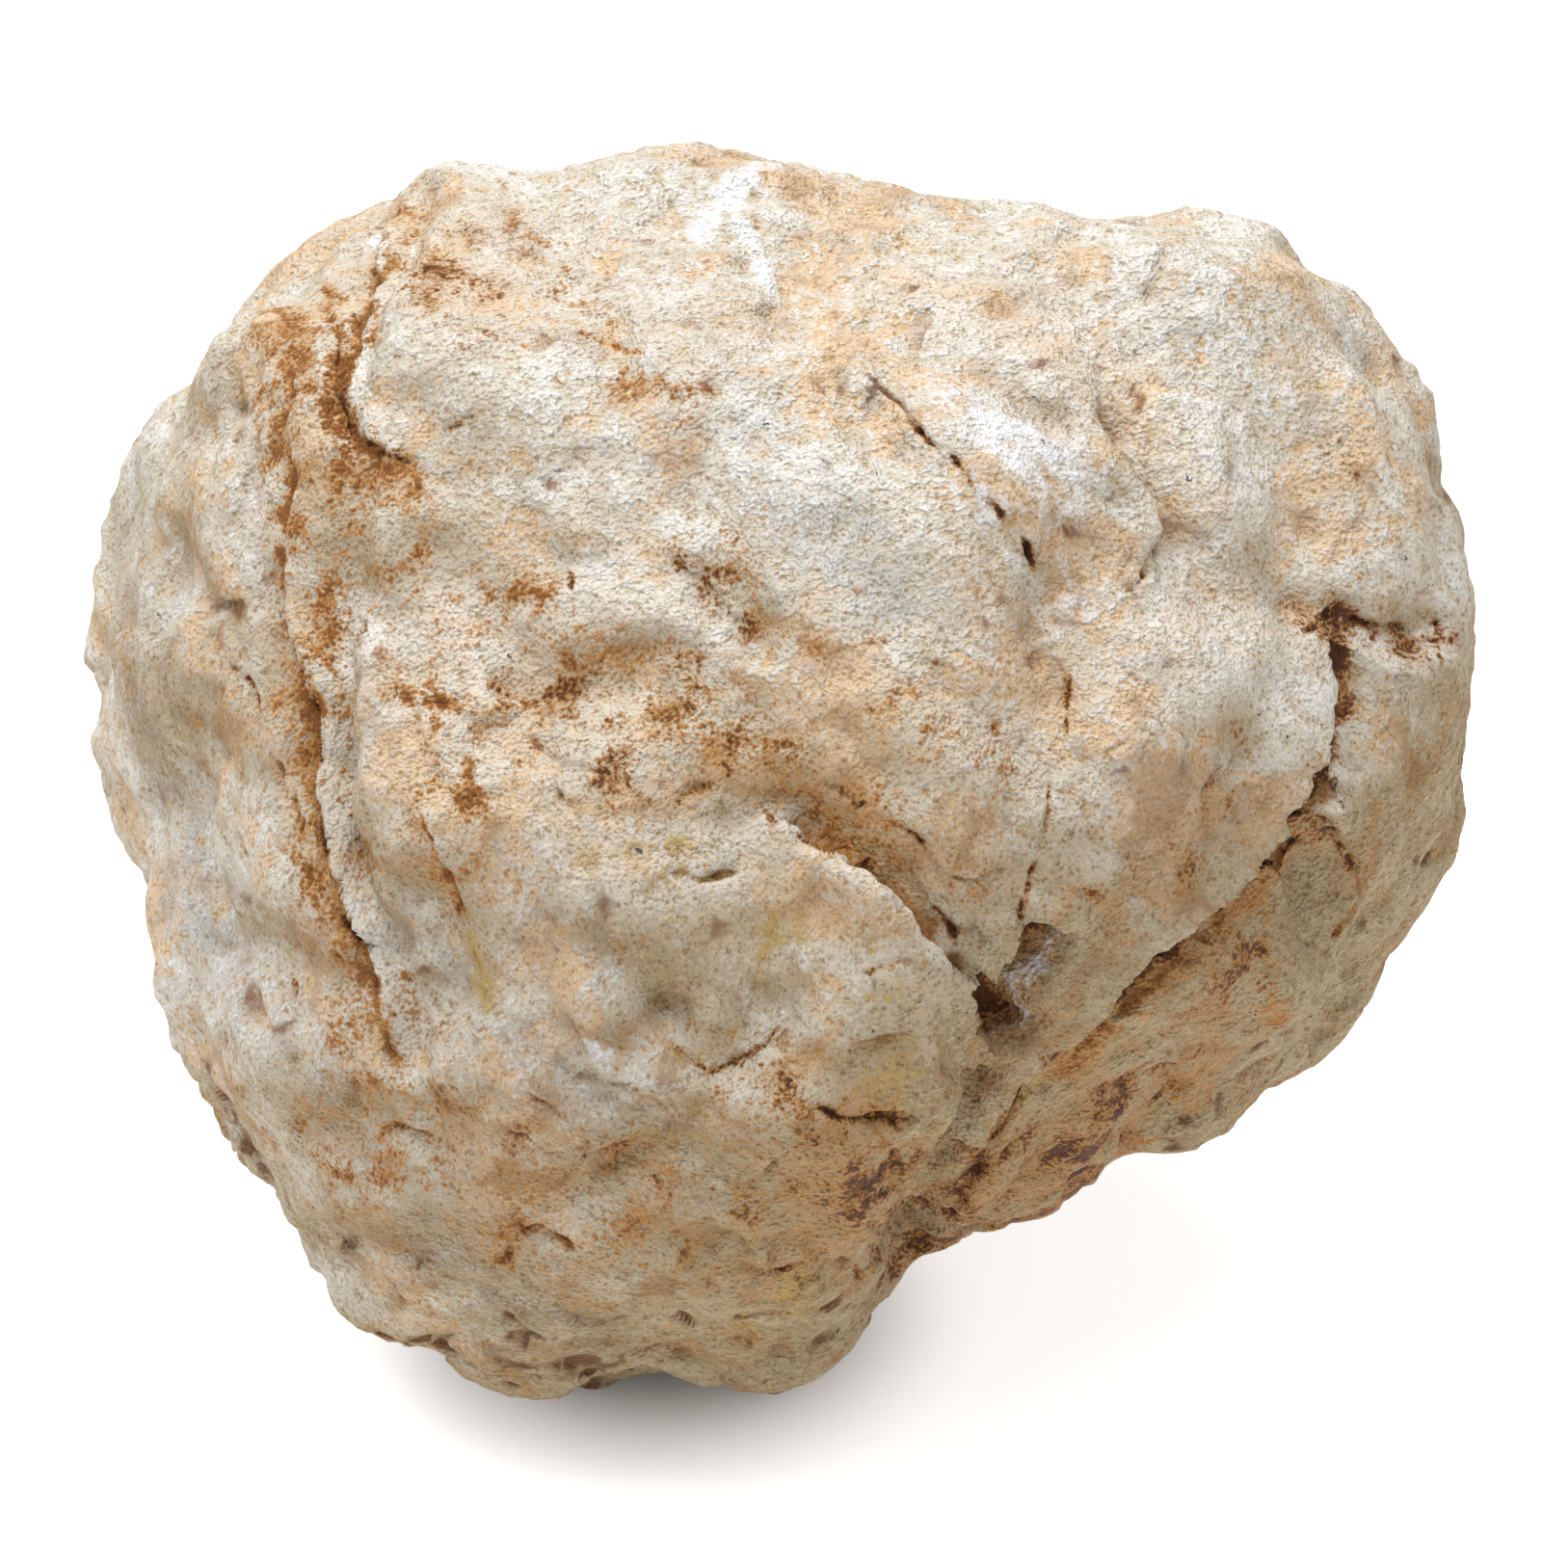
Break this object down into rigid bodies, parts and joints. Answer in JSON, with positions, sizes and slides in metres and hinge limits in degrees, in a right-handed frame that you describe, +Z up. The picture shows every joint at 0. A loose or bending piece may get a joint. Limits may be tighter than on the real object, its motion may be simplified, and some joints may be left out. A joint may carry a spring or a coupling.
{
  "type": "calcite geode",
  "caption": "Uncut calcite geode: a lumpy nodule of pale weathered calcite with rusty seams, cracks and a small open pocket, resting on a small flat spot.",
  "frame": {"origin": "on the surface that the stone rests on, under the middle of its box", "axes": "+Z up, +X along the stone's longest extent, and -Y towards the broad, rust-seamed show side, which looks up by 32 degrees"},
  "size_m": [0.0804, 0.0702, 0.0679],
  "materials": {
    "weathered_calcite": "dull, grainy mineral rind, cream to grey, with rusty stains in the seams"
  },
  "bodies": {
    "root": {"geode": "weathered_calcite"}
  },
  "joints": []
}
